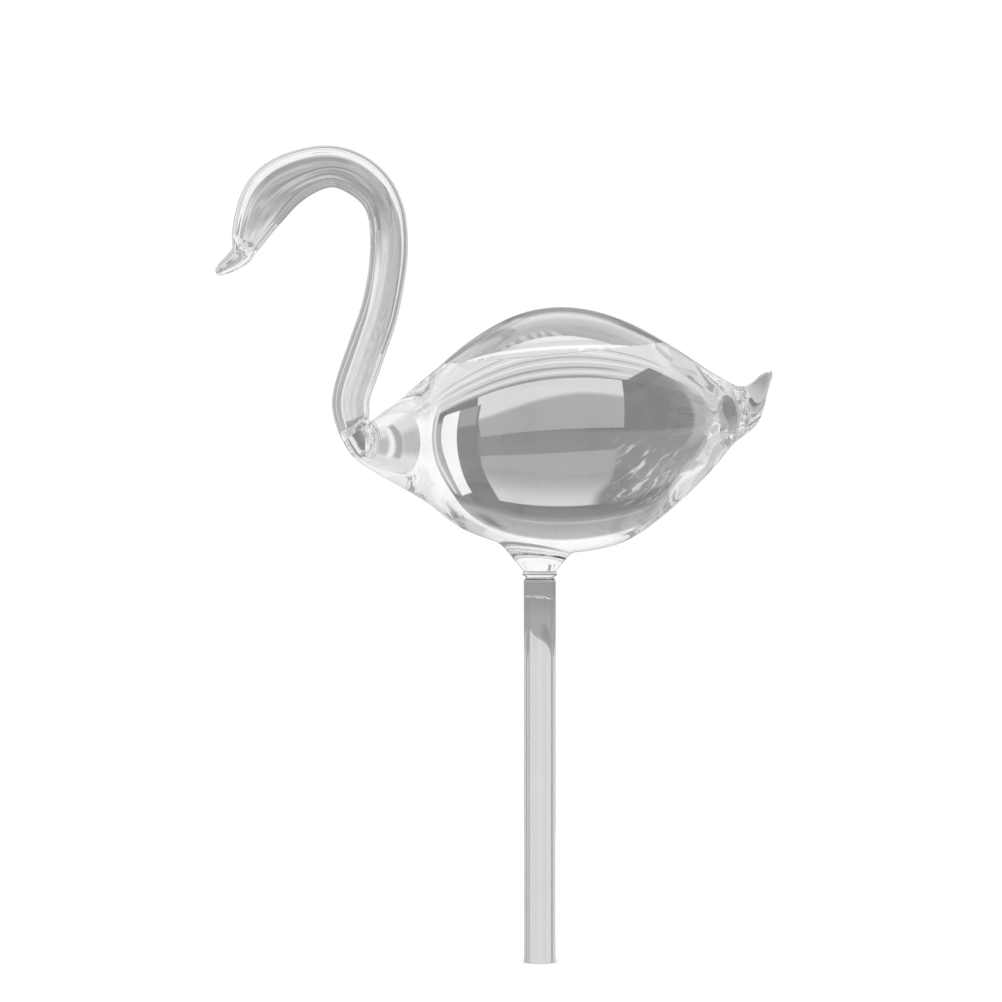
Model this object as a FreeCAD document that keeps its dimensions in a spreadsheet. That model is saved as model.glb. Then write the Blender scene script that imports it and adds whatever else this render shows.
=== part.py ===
import FreeCAD, Part
import math
import os
import sys

import Sketcher
from FreeCAD import Placement, Rotation, Vector

# Hand-blown plant watering globe in the shape of a swan, clear borosilicate glass.
# Frame: origin on the stem's axis at its open lower end, +Z up the stem, -X towards the beak,
# +X towards the tail, Y across the bird.  Millimetres.
#
# The blown pieces (neck, bulb, tail, beak) are lofts through oval stations.  A station is given by the
# two silhouette points that it joins, as (ax, az, bx, bz), and by its depth across the bird as a share
# of its height.  Stations fan round the bends and never cross inside the glass.

PARTS = "parts"
os.makedirs(PARTS, exist_ok=True)

doc = FreeCAD.newDocument("watering_globe")
sheet = doc.addObject("Spreadsheet::Sheet", "dims")
_row = [1]


def cell(alias, value, note=""):
    """One driving dimension: label in A, plain number in B, note in C."""
    r = _row[0]
    sheet.set("A%d" % r, alias)
    sheet.set("B%d" % r, repr(round(float(value), 5)))
    sheet.setAlias("B%d" % r, alias)
    if note:
        sheet.set("C%d" % r, note)
    _row[0] += 1
    return "dims." + alias


# ---------------------------------------------------------------- driving dimensions
cell("stem_od", 9.0, "outside diameter of the stem tube")
cell("stem_bore", 6.6, "bore of the stem tube, where the water runs out")
cell("stem_len", 107.8, "stem tube, from its open end to the weld")
cell("stem_lip", 0.35, "fire-polished rim of the stem's ends")
cell("weld_groove_od", 8.1, "waist under the weld bead")
cell("weld_groove_len", 0.85, "height of the waist")
cell("weld_bead_od", 9.62, "weld bead")
cell("weld_top_od", 9.32, "top of the weld, where the shoulder starts")
cell("weld_len", 2.4, "height of the weld")
cell("weld_bead_arc", 1.05, "radius of the bead's bulge")
cell("shoulder_len", 10.0, "height of the shoulder cone before it is trimmed to the bulb")
cell("shoulder_top_od", 25.72, "shoulder cone at that height")
cell("shoulder_step", 0.4, "straight bore before the cone opens")
cell("shoulder_top_id", 22.34, "inside of the shoulder cone at that height")
cell("bulb_wall", 1.3, "wall of the blown bulb")
cell("neck_wall", 1.3, "wall of the neck tube")
cell("over", 1.2, "how far the cavities run past the open ends")
cell("cup_foot_od", 5.7, "closed end of the neck tube, at its foot")
cell("cup_od", 6.8, "closed end of the neck tube, at its widest")
cell("cup_foot_id", 3.5, "inside of the closed end, at its foot")
cell("cup_id", 4.6, "inside of the closed end, at its widest")
cell("cup_len", 4.5, "foot to widest place")
cell("cup_low", 0.53, "where the closed end stands on the seal: 0 at the back of the neck, 1 at the breast")
cell("tail_ball", 1.4, "radius of the tail's rounded tip")
cell("beak_ball", 1.29, "radius of the beak's rounded tip")

# neck, from the root by the breast up over the crook to the end of the head:
# (front or throat side x, z, back or crown side x, z, depth share)
NECK = [
    (-56.21, 147.76, -48.31, 153.40, 1.00),
    (-57.37, 150.84, -48.03, 155.21, 1.00),
    (-58.27, 153.94, -48.14, 156.90, 1.00),
    (-58.64, 157.33, -47.92, 158.46, 1.00),
    (-58.13, 161.84, -47.38, 160.43, 1.00),
    (-56.67, 166.92, -46.22, 163.53, 1.00),
    (-54.69, 172.57, -44.25, 169.04, 1.00),
    (-52.71, 178.21, -42.27, 174.68, 1.00),
    (-50.74, 183.85, -40.35, 180.69, 1.00),
    (-49.33, 189.50, -38.92, 187.13, 1.00),
    (-48.40, 195.14, -37.84, 193.53, 1.00),
    (-47.92, 200.79, -37.19, 200.36, 1.00),
    (-48.00, 206.15, -37.36, 207.08, 1.00),
    (-48.76, 210.94, -38.44, 213.26, 1.00),
    (-50.32, 213.77, -40.92, 218.99, 1.00),
    (-52.71, 215.88, -44.67, 223.78, 1.00),
    (-55.68, 217.63, -50.46, 227.88, 1.00),
    (-58.92, 218.42, -58.08, 230.13, 0.99),
    (-62.31, 217.44, -64.99, 229.85, 0.97),
    (-65.84, 215.46, -72.05, 227.88, 0.94),
    (-68.94, 212.92, -77.83, 224.83, 0.91),
    (-71.62, 209.96, -83.31, 218.68, 0.90),
    (-73.88, 207.42, -85.34, 213.48, 0.90),
    (-76.00, 204.88, -86.35, 209.25, 0.91),
    (-78.25, 202.06, -86.86, 205.44, 0.93),
    (-80.09, 199.85, -86.92, 202.99, 0.95),
    (-81.30, 198.25, -86.75, 201.29, 0.97),
]
# bulb, from the breast to the root of the tail: (top x, z, bottom x, z, depth share)
BULB = [
    (-47.52, 152.25, -55.42, 146.60, 1.00),
    (-45.38, 154.36, -53.56, 143.36, 1.00),
    (-41.99, 156.68, -49.61, 140.06, 0.99),
    (-38.04, 159.81, -43.97, 136.58, 0.98),
    (-33.53, 163.68, -37.19, 132.78, 0.97),
    (-28.73, 167.63, -30.70, 128.68, 0.96),
    (-22.52, 172.99, -23.65, 123.18, 0.95),
    (-14.05, 178.77, -14.90, 119.31, 0.95),
    (-4.18, 183.20, -4.18, 116.27, 0.95),
    (5.70, 184.62, 5.98, 115.28, 0.95),
    (15.58, 183.49, 16.14, 116.27, 0.95),
    (24.89, 180.33, 25.45, 119.23, 0.95),
    (33.07, 176.09, 33.92, 125.01, 0.95),
    (40.13, 171.86, 41.26, 131.36, 0.95),
    (45.77, 168.05, 47.18, 137.29, 0.94),
    (50.01, 165.37, 51.13, 141.66, 0.93),
    (53.39, 163.53, 54.24, 145.62, 0.92),
]
# tail, solid, pinched flat towards its upturned tip
TAIL = [
    (53.39, 163.53, 54.24, 145.62, 0.92),
    (55.79, 162.46, 56.64, 147.87, 0.82),
    (57.77, 162.18, 58.90, 149.42, 0.66),
    (59.46, 163.11, 60.87, 150.98, 0.54),
    (61.01, 164.47, 62.31, 153.38, 0.47),
    (62.37, 165.62, 63.33, 156.90, 0.47),
    (63.55, 166.19, 64.20, 160.57, 0.60),
    (64.68, 166.27, 65.05, 163.53, 1.00),
]
# beak, solid, from its seam to its rounded point
BEAK = [
    (-87.05, 200.70, -81.64, 197.66, 0.97),
    (-88.41, 199.26, -83.81, 195.99, 0.93),
    (-89.68, 197.91, -86.24, 194.86, 0.90),
    (-90.56, 196.89, -88.27, 194.07, 0.93),
    (-91.15, 195.90, -89.74, 193.81, 1.00),
]


def obliquity(table, i, end):
    """1 / sine of the angle between a station's chord and the outline that it meets at one end."""
    a = table[max(i - 1, 0)][2 * end:2 * end + 2]
    b = table[min(i + 1, len(table) - 1)][2 * end:2 * end + 2]
    tx, tz = b[0] - a[0], b[1] - a[1]
    s = table[i]
    ux, uz = s[0] - s[2], s[1] - s[3]
    cross = abs(tx * uz - tz * ux) / (math.hypot(tx, tz) * math.hypot(ux, uz))
    return 1.0 / max(cross, 0.6)


def enter(prefix, table, hollow=False):
    """Writes a table of stations to the sheet."""
    for i, s in enumerate(table):
        for key, v in zip(("ax", "az", "bx", "bz", "depth"), s):
            cell("%s_%02d_%s" % (prefix, i, key), v)
        if hollow:
            cell("%s_%02d_fa" % (prefix, i), obliquity(table, i, 0))
            cell("%s_%02d_fb" % (prefix, i), obliquity(table, i, 1))


enter("neck", NECK, hollow=True)
enter("bulb", BULB, hollow=True)
enter("tail", TAIL)
enter("beak", BEAK)
doc.recompute()


# ---------------------------------------------------------------- construction helpers
def oval(name, key, wall=None, along=0, flip=False):
    """An oval station bound to the sheet: its outside, or its inside if wall names the wall's cell.
    along is +1 or -1 for a copy moved past an open end."""
    d = {k: "dims.%s_%s" % (key, k) for k in ("ax", "az", "bx", "bz", "depth")}
    if flip:
        d["ax"], d["bx"], d["az"], d["bz"] = d["bx"], d["ax"], d["bz"], d["az"]
    span = "sqrt((%(ax)s - %(bx)s)^2 + (%(az)s - %(bz)s)^2)" % d
    major, minor = "%s / 2" % span, "%s * %s / 2" % (d["depth"], span)
    cx, cz = "(%(ax)s + %(bx)s) / 2" % d, "(%(az)s + %(bz)s) / 2" % d
    if wall:
        fa, fb = "dims.%s_fa" % key, "dims.%s_fb" % key
        thin = "dims.%s * (%s + %s) / 2" % (wall, fa, fb)
        major, minor = "%s - %s" % (major, thin), "%s - %s" % (minor, thin)
        shift = "dims.%s * (%s - %s) / 2" % (wall, fa, fb)
        cx = "%s - %s * (%s - %s) / %s" % (cx, shift, d["ax"], d["bx"], span)
        cz = "%s - %s * (%s - %s) / %s" % (cz, shift, d["az"], d["bz"], span)
    if along:
        sign = "+" if along > 0 else "-"
        cx = "%s %s dims.over * (%s - %s) / %s" % (cx, sign, d["az"], d["bz"], span)
        cz = "%s %s dims.over * (%s - %s) / %s" % (cz, sign, d["bx"], d["ax"], span)
    o = doc.addObject("Part::Ellipse", name)
    o.MajorRadius, o.MinorRadius = 40, 1
    o.Placement = Placement(Vector(0, 0, 0), Rotation(Vector(0, -1, 0), 60))
    o.setExpression("MajorRadius", major)
    o.setExpression("MinorRadius", minor)
    o.setExpression("Placement.Base.x", cx)
    o.setExpression("Placement.Base.z", cz)
    o.setExpression("Placement.Rotation.Angle", "atan2(%(az)s - %(bz)s; %(ax)s - %(bx)s)" % d)
    return o


def loft(name, sections):
    o = doc.addObject("Part::Loft", name)
    o.Sections = sections
    o.Solid, o.Ruled, o.Closed = True, False, False
    return o


def stations(prefix, table, wall=None):
    tag = "in" if wall else "out"
    rows = [oval("%s_%s_%02d" % (prefix, tag, i), "%s_%02d" % (prefix, i), wall) for i in range(len(table))]
    if wall:
        last = len(table) - 1
        rows.insert(0, oval("%s_in_start" % prefix, "%s_00" % prefix, wall, along=-1))
        rows.append(oval("%s_in_end" % prefix, "%s_%02d" % (prefix, last), wall, along=1))
    return rows


def cut(name, base, tool):
    o = doc.addObject("Part::Cut", name)
    o.Base, o.Tool = base, tool
    return o


def fuse(name, base, tool):
    o = doc.addObject("Part::Fuse", name)
    o.Base, o.Tool = base, tool
    return o


def origin_plane(body, role):
    return [f for f in body.Origin.OriginFeatures if f.Role == role][0]


def profile(body, name, corners, curves=None):
    """A closed sketch on the body's XZ plane.  corners: (x expression, z expression) for each corner;
    curves: {edge number: (mid x, mid z, radius expression)} for edges that are arcs."""
    curves = curves or {}
    sk = body.newObject("Sketcher::SketchObject", name)
    sk.AttachmentSupport = (origin_plane(body, "XZ_Plane"), "")
    sk.MapMode = "FlatFace"
    values = [(evaluate(x), evaluate(z)) for x, z in corners]
    n = len(corners)
    ends = []
    for i in range(n):
        a, b = values[i], values[(i + 1) % n]
        if i in curves:
            mid = curves[i]
            turn = (mid[0] - a[0]) * (b[1] - mid[1]) - (mid[1] - a[1]) * (b[0] - mid[0])
            first, last = (a, b) if turn > 0 else (b, a)
            bow = Part.Arc(Vector(first[0], first[1], 0), Vector(mid[0], mid[1], 0), Vector(last[0], last[1], 0))
            bow = bow.toShape().Curve
            where = bow.Center
            begin = math.atan2(first[1] - where.y, first[0] - where.x)
            stop = math.atan2(last[1] - where.y, last[0] - where.x)
            if stop < begin:
                stop += 2 * math.pi
            circle = Part.Circle(where, Vector(0, 0, 1), bow.Radius)
            sk.addGeometry(Part.ArcOfCircle(circle, begin, stop))
            ends.append((1, 2) if turn > 0 else (2, 1))
        else:
            sk.addGeometry(Part.LineSegment(Vector(a[0], a[1], 0), Vector(b[0], b[1], 0)))
            ends.append((1, 2))
    for i in range(n):
        j = (i + 1) % n
        sk.addConstraint(Sketcher.Constraint("Coincident", i, ends[i][1], j, ends[j][0]))
    for i, (x, z) in enumerate(corners):
        for kind, expression, value, axis in (("X", x, values[i][0], -2), ("Y", z, values[i][1], -1)):
            if abs(value) < 1e-9:
                sk.addConstraint(Sketcher.Constraint("PointOnObject", i, ends[i][0], axis))
            else:
                c = sk.addConstraint(Sketcher.Constraint("Distance" + kind, -1, 1, i, ends[i][0], value))
                label = "corner%d%s" % (i, kind.lower())
                sk.renameConstraint(c, label)
                sk.setExpression("Constraints." + label, expression)
    for i, (_, _, radius) in curves.items():
        c = sk.addConstraint(Sketcher.Constraint("Radius", i, evaluate(radius)))
        sk.renameConstraint(c, "arc%d" % i)
        sk.setExpression("Constraints.arc%d" % i, radius)
    return sk


def evaluate(expression):
    """A sheet expression's number, for a sketch's first guess."""
    v = sheet.evalExpression(expression.replace("dims.", ""))
    return float(getattr(v, "Value", v))


def revolve(body, sketch, name):
    r = body.newObject("PartDesign::Revolution", name)
    r.Profile = sketch
    r.ReferenceAxis = (sketch, ["V_Axis"])
    r.Angle = 360
    sketch.Visibility = False
    return r


nodes = {}


def node(name, obj):
    obj.Label = name
    nodes[name] = obj


# ---------------------------------------------------------------- stem tube: drawn tube, both ends fire-polished
stem = doc.addObject("PartDesign::Body", "Stem")
ring = stem.newObject("Sketcher::SketchObject", "StemSection")
ring.AttachmentSupport = (origin_plane(stem, "XY_Plane"), "")
ring.MapMode = "FlatFace"
for g, (alias, r) in enumerate((("stem_od", 4.5), ("stem_bore", 3.3))):
    ring.addGeometry(Part.Circle(Vector(0, 0, 0), Vector(0, 0, 1), r))
    ring.addConstraint(Sketcher.Constraint("Coincident", g, 3, -1, 1))
    c = ring.addConstraint(Sketcher.Constraint("Radius", g, r))
    ring.renameConstraint(c, alias)
    ring.setExpression("Constraints." + alias, "dims.%s / 2" % alias)
tube = stem.newObject("PartDesign::Pad", "StemTube")
tube.Profile = ring
tube.setExpression("Length", "dims.stem_len")
doc.recompute()
rims = []
for i, e in enumerate(tube.Shape.Edges):
    if e.Curve.TypeId == "Part::GeomCircle" and (e.BoundBox.ZMax < 1e-6 or e.Curve.Radius > 4):
        rims.append("Edge%d" % (i + 1))
polish = stem.newObject("PartDesign::Fillet", "FirePolish")
polish.Base = (tube, rims)
polish.setExpression("Radius", "dims.stem_lip")
node("stem_tube", stem)

# ---------------------------------------------------------------- weld between stem and shoulder: waist, then bead
weld = doc.addObject("PartDesign::Body", "Weld")
weld_sketch = profile(
    weld,
    "WeldProfile",
    [
        ("dims.stem_bore / 2", "dims.stem_len"),
        ("dims.weld_groove_od / 2", "dims.stem_len"),
        ("dims.weld_groove_od / 2", "dims.stem_len + dims.weld_groove_len"),
        ("dims.weld_top_od / 2", "dims.stem_len + dims.weld_len"),
        ("dims.stem_bore / 2", "dims.stem_len + dims.weld_len"),
    ],
    {2: (4.86, 109.35, "dims.weld_bead_arc")},
)
revolve(weld, weld_sketch, "WeldBead")
node("stem_weld", weld)

# ---------------------------------------------------------------- blown bulb
bulb_outer = loft("BulbOutside", stations("bulb", BULB))
bulb_inner = loft("BulbCavity", stations("bulb", BULB, "bulb_wall"))
bulb_shell = cut("BulbShell", bulb_outer, bulb_inner)

# the cone that opens the bulb's floor into the shoulder
throat = doc.addObject("Part::Cone", "Throat")
throat.setExpression("Radius1", "dims.stem_bore / 2")
throat.setExpression("Radius2", "dims.shoulder_top_id / 2")
throat.setExpression("Height", "dims.shoulder_len - dims.shoulder_step")
throat.setExpression("Placement.Base.z", "dims.stem_len + dims.weld_len + dims.shoulder_step")
node("body_bulb", cut("Bulb", bulb_shell, throat))

# ---------------------------------------------------------------- shoulder cone, trimmed to the bulb's underside
cone = doc.addObject("PartDesign::Body", "ShoulderBlank")
cone_sketch = profile(
    cone,
    "ShoulderProfile",
    [
        ("dims.stem_bore / 2", "dims.stem_len + dims.weld_len"),
        ("dims.weld_top_od / 2", "dims.stem_len + dims.weld_len"),
        ("dims.shoulder_top_od / 2", "dims.stem_len + dims.weld_len + dims.shoulder_len"),
        ("dims.shoulder_top_id / 2", "dims.stem_len + dims.weld_len + dims.shoulder_len"),
        ("dims.stem_bore / 2", "dims.stem_len + dims.weld_len + dims.shoulder_step"),
    ],
)
revolve(cone, cone_sketch, "ShoulderCone")
node("shoulder_cone", cut("Shoulder", cone, bulb_outer))

# ---------------------------------------------------------------- neck and head, one bent tube
neck_outer = loft("NeckOutside", stations("neck", NECK))
neck_inner = loft("NeckCavity", stations("neck", NECK, "neck_wall"))
node("neck_and_head", cut("Neck", neck_outer, neck_inner))

# seal across the mitre where the neck is kinked on to the breast
seal = loft("RootSeal", [oval("seal_neck_side", "neck_00"), oval("seal_breast_side", "bulb_00", flip=True)])
node("neck_root_seal", seal)

# closed round end of the neck tube, standing inside the breast
cup = doc.addObject("PartDesign::Body", "RootCup")
cup_sketch = profile(
    cup,
    "CupProfile",
    [
        ("dims.cup_foot_id / 2", "0"),
        ("dims.cup_foot_od / 2", "0"),
        ("dims.cup_od / 2", "dims.cup_len"),
        ("0", "dims.cup_len + dims.cup_od / 2"),
        ("0", "dims.cup_len + dims.cup_id / 2"),
        ("dims.cup_id / 2", "dims.cup_len"),
    ],
    {
        2: (3.4 * math.sqrt(0.5), 4.5 + 3.4 * math.sqrt(0.5), "dims.cup_od / 2"),
        4: (2.3 * math.sqrt(0.5), 4.5 + 2.3 * math.sqrt(0.5), "dims.cup_id / 2"),
    },
)
revolve(cup, cup_sketch, "CupShell")
s0 = BULB[0]
span = math.hypot(s0[0] - s0[2], s0[1] - s0[3])
inward = Vector((s0[1] - s0[3]) / span, 0, (s0[2] - s0[0]) / span)
cup.Placement = Placement(Vector(0, 0, 0), Rotation(Vector(0, 0, 1), inward))
cup.setExpression("Placement.Base.x", "dims.bulb_00_ax + (dims.bulb_00_bx - dims.bulb_00_ax) * dims.cup_low")
cup.setExpression("Placement.Base.z", "dims.bulb_00_az + (dims.bulb_00_bz - dims.bulb_00_az) * dims.cup_low")
node("neck_root_cup", cup)

# ---------------------------------------------------------------- beak: thin seam disc that closes the head, then the point
seam = loft("BeakSeam", [oval("seam_head_side", "neck_26"), oval("seam_beak_side", "beak_00", flip=True)])
node("beak_seam", seam)
beak_blank = loft("BeakCone", stations("beak", BEAK))
beak_ball = doc.addObject("Part::Sphere", "BeakBall")
beak_ball.setExpression("Radius", "dims.beak_ball")
beak_ball.setExpression("Placement.Base.x", "(dims.beak_04_ax + dims.beak_04_bx) / 2")
beak_ball.setExpression("Placement.Base.z", "(dims.beak_04_az + dims.beak_04_bz) / 2")
node("beak_tip", fuse("Beak", beak_blank, beak_ball))

# ---------------------------------------------------------------- tail: solid, closes the bulb where it left the blowpipe
tail_blank = loft("TailPaddle", stations("tail", TAIL))
tail_ball = doc.addObject("Part::Sphere", "TailBall")
tail_ball.setExpression("Radius", "dims.tail_ball")
tail_ball.setExpression("Placement.Base.x", "(dims.tail_07_ax + dims.tail_07_bx) / 2")
tail_ball.setExpression("Placement.Base.z", "(dims.tail_07_az + dims.tail_07_bz) / 2")
node("tail_tip", fuse("Tail", tail_blank, tail_ball))

doc.recompute()

# ---------------------------------------------------------------- checks, then one STEP file for each piece
bad = [o.Name for o in doc.Objects if set(o.State) & {"Invalid", "Error"}]
if bad:
    sys.exit("failed objects: " + ", ".join(bad))
total = 0.0
for name, obj in nodes.items():
    shape = obj.Shape
    if shape.isNull() or not shape.isValid() or not shape.Solids:
        sys.exit("bad shape: " + name)
    bb = shape.BoundBox
    print(
        "%-16s solids %d  volume %9.1f mm3  x %.1f..%.1f  y %.1f..%.1f  z %.1f..%.1f"
        % (name, len(shape.Solids), shape.Volume, bb.XMin, bb.XMax, bb.YMin, bb.YMax, bb.ZMin, bb.ZMax)
    )
    total += shape.Volume
print("glass volume %.1f mm3, mass %.1f g" % (total, total * 2.23e-3))
print("bulb holds about %.0f ml" % (bulb_inner.Shape.Volume / 1000.0))
for old in os.listdir(PARTS):
    if old.endswith(".step") and old[:-5] not in nodes:
        os.remove(os.path.join(PARTS, old))
for name, obj in nodes.items():
    obj.Shape.exportStep(os.path.join(PARTS, name + ".step"))
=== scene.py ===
import math

import bmesh
import bpy
import numpy as np
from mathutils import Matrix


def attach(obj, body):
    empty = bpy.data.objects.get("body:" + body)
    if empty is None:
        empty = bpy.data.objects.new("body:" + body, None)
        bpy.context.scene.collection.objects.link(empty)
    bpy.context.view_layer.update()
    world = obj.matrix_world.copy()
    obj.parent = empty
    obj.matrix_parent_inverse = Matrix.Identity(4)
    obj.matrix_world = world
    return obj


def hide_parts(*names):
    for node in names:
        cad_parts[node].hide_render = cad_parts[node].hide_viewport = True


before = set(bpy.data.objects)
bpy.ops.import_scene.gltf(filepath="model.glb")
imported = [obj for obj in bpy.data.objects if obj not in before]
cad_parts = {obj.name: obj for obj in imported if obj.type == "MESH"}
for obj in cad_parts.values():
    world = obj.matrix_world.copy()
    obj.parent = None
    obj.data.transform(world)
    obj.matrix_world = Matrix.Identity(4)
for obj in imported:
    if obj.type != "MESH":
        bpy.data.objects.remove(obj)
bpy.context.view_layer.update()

# Hand-blown glass watering globe in the shape of a swan, four fifths of its height full of water, on its long stem.
# Tables and profiles are in millimetres, in the row frame; meshes are written in metres.
# The glass is one fused body made of closed pieces.  Where two pieces are fused, the faces between them
# carry a material with no step in refractive index, so light passes as in one piece of glass.  The wetted
# inner faces carry the glass-to-water step, and the water's own sides, which lie on them, carry none.

MM = 0.001

# ---------------------------------------------------------------- stations, the same as the solids'
NECK = [
    (-56.21, 147.76, -48.31, 153.40, 1.00), (-57.37, 150.84, -48.03, 155.21, 1.00),
    (-58.27, 153.94, -48.14, 156.90, 1.00), (-58.64, 157.33, -47.92, 158.46, 1.00),
    (-58.13, 161.84, -47.38, 160.43, 1.00), (-56.67, 166.92, -46.22, 163.53, 1.00),
    (-54.69, 172.57, -44.25, 169.04, 1.00), (-52.71, 178.21, -42.27, 174.68, 1.00),
    (-50.74, 183.85, -40.35, 180.69, 1.00), (-49.33, 189.50, -38.92, 187.13, 1.00),
    (-48.40, 195.14, -37.84, 193.53, 1.00), (-47.92, 200.79, -37.19, 200.36, 1.00),
    (-48.00, 206.15, -37.36, 207.08, 1.00), (-48.76, 210.94, -38.44, 213.26, 1.00),
    (-50.32, 213.77, -40.92, 218.99, 1.00), (-52.71, 215.88, -44.67, 223.78, 1.00),
    (-55.68, 217.63, -50.46, 227.88, 1.00), (-58.92, 218.42, -58.08, 230.13, 0.99),
    (-62.31, 217.44, -64.99, 229.85, 0.97), (-65.84, 215.46, -72.05, 227.88, 0.94),
    (-68.94, 212.92, -77.83, 224.83, 0.91), (-71.62, 209.96, -83.31, 218.68, 0.90),
    (-73.88, 207.42, -85.34, 213.48, 0.90), (-76.00, 204.88, -86.35, 209.25, 0.91),
    (-78.25, 202.06, -86.86, 205.44, 0.93), (-80.09, 199.85, -86.92, 202.99, 0.95),
    (-81.30, 198.25, -86.75, 201.29, 0.97),
]
BULB = [
    (-47.52, 152.25, -55.42, 146.60, 1.00), (-45.38, 154.36, -53.56, 143.36, 1.00),
    (-41.99, 156.68, -49.61, 140.06, 0.99), (-38.04, 159.81, -43.97, 136.58, 0.98),
    (-33.53, 163.68, -37.19, 132.78, 0.97), (-28.73, 167.63, -30.70, 128.68, 0.96),
    (-22.52, 172.99, -23.65, 123.18, 0.95), (-14.05, 178.77, -14.90, 119.31, 0.95),
    (-4.18, 183.20, -4.18, 116.27, 0.95), (5.70, 184.62, 5.98, 115.28, 0.95),
    (15.58, 183.49, 16.14, 116.27, 0.95), (24.89, 180.33, 25.45, 119.23, 0.95),
    (33.07, 176.09, 33.92, 125.01, 0.95), (40.13, 171.86, 41.26, 131.36, 0.95),
    (45.77, 168.05, 47.18, 137.29, 0.94), (50.01, 165.37, 51.13, 141.66, 0.93),
    (53.39, 163.53, 54.24, 145.62, 0.92),
]
TAIL = [
    (55.79, 162.46, 56.64, 147.87, 0.82), (57.77, 162.18, 58.90, 149.42, 0.66),
    (59.46, 163.11, 60.87, 150.98, 0.54), (61.01, 164.47, 62.31, 153.38, 0.47),
    (62.37, 165.62, 63.33, 156.90, 0.47), (63.55, 166.19, 64.20, 160.57, 0.60),
    (64.68, 166.27, 65.05, 163.53, 1.00),
]
BEAK = [
    (-87.05, 200.70, -81.64, 197.66, 0.97), (-88.41, 199.26, -83.81, 195.99, 0.93),
    (-89.68, 197.91, -86.24, 194.86, 0.90), (-90.56, 196.89, -88.27, 194.07, 0.93),
    (-91.15, 195.90, -89.74, 193.81, 1.00),
]
WALL = 1.3
STEM_R, BORE_R = 4.5, 3.3
WELD_TOP = 110.2
WET_GAP = 0.03

# water surface: level line through (5.7, z) in the picture's plane, tilted as the globe is held
SURF_X, SURF_Z = 5.7, 169.6
TILT_X, TILT_Y = math.tan(math.radians(5.6)), math.tan(math.radians(1.6))
RISE = 1.4            # how far the water climbs the glass
CAP_LEN = 2.7         # capillary length of water


# ---------------------------------------------------------------- curves through the stations
def natural(s, y, q):
    """Natural cubic spline through y at s, read at q."""
    n = len(s)
    h = np.diff(s)
    a = np.eye(n)
    r = np.zeros_like(y)
    for i in range(1, n - 1):
        a[i, i - 1], a[i, i], a[i, i + 1] = h[i - 1], 2 * (h[i - 1] + h[i]), h[i]
        r[i] = 6 * ((y[i + 1] - y[i]) / h[i] - (y[i] - y[i - 1]) / h[i - 1])
    m = np.linalg.solve(a, r)
    k = np.clip(np.searchsorted(s, q, side="right") - 1, 0, n - 2)
    hk = h[k][:, None]
    p, t = (s[k + 1] - q)[:, None], (q - s[k])[:, None]
    return (m[k] * p ** 3 + m[k + 1] * t ** 3) / (6 * hk) + (y[k] / hk - m[k] * hk / 6) * p + (
        y[k + 1] / hk - m[k + 1] * hk / 6
    ) * t


def soften(y, step, wave):
    """Takes out wiggles shorter than wave millimetres, and keeps both ends."""
    n = len(y)
    d = np.eye(n)
    for _ in range(3):
        d = np.diff(d, axis=0)
    w = np.eye(n)
    w[0, 0] = w[-1, -1] = 1e5
    return np.linalg.solve(w + (wave / (2 * math.pi * step)) ** 6 * d.T @ d, w @ y)


class Path:
    """Stations along a blown piece: at(q) gives rows (ax, az, bx, bz, depth) at the lengths q."""

    def __init__(self, table, wave, count=320):
        t = np.array(table, float)
        step = (np.hypot(*np.diff(t[:, 0:2], axis=0).T) + np.hypot(*np.diff(t[:, 2:4], axis=0).T)) / 2
        self.marks = np.concatenate([[0], np.cumsum(step)])
        self.s = np.linspace(0, self.marks[-1], count)
        self.y = soften(natural(self.marks, t, self.s), self.s[1], wave)

    def at(self, q):
        return natural(self.s, self.y, np.asarray(q, float))

    def inside(self, q, wall):
        """The same rows for a cavity that leaves a wall of that thickness."""
        r = self.at(q)
        e = 0.05
        tangent = self.at(np.minimum(q + e, self.s[-1])) - self.at(np.maximum(q - e, 0))
        chord = r[:, 0:2] - r[:, 2:4]
        span = np.hypot(*chord.T)
        unit = chord / span[:, None]
        out = r.copy()
        shares = []
        for k in (0, 2):
            t = tangent[:, k:k + 2]
            c = np.abs(t[:, 0] * unit[:, 1] - t[:, 1] * unit[:, 0]) / np.maximum(np.hypot(*t.T), 1e-9)
            shares.append(wall / np.maximum(c, 0.6))
        out[:, 0:2] -= unit * shares[0][:, None]
        out[:, 2:4] += unit * shares[1][:, None]
        inner = np.hypot(*(out[:, 0:2] - out[:, 2:4]).T)
        out[:, 4] = np.maximum(r[:, 4] * span - shares[0] - shares[1], 0.05) / inner
        return out


def rings(r, phi):
    """Oval rings (rows, angles, xyz); angle 0 is at point a and a quarter turn is at +Y."""
    c = (r[:, 0:2] + r[:, 2:4]) / 2
    m = (r[:, 0:2] - r[:, 2:4]) / 2
    half = np.hypot(*m.T) * r[:, 4]
    p = np.zeros((len(r), len(phi), 3))
    p[:, :, 0] = c[:, 0:1] + m[:, 0:1] * np.cos(phi)
    p[:, :, 2] = c[:, 1:2] + m[:, 1:2] * np.cos(phi)
    p[:, :, 1] = half[:, None] * np.sin(phi)
    return p


def shrink(r, share):
    """Rows scaled about their own centres."""
    out = r.copy()
    c = (r[:, 0:2] + r[:, 2:4]) / 2
    share = np.asarray(share)[:, None]
    out[:, 0:2] = c + (r[:, 0:2] - c) * share
    out[:, 2:4] = c + (r[:, 2:4] - c) * share
    return out


def around(n, focus=0.0):
    """n angles round a ring, closer together at the bottom by that share."""
    t = np.linspace(0, 2 * math.pi, n, endpoint=False)
    return t + focus * np.sin(t)


# ---------------------------------------------------------------- meshes
GLASS, FUSED, WETTED, SURFACE = 0, 1, 2, 3


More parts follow.
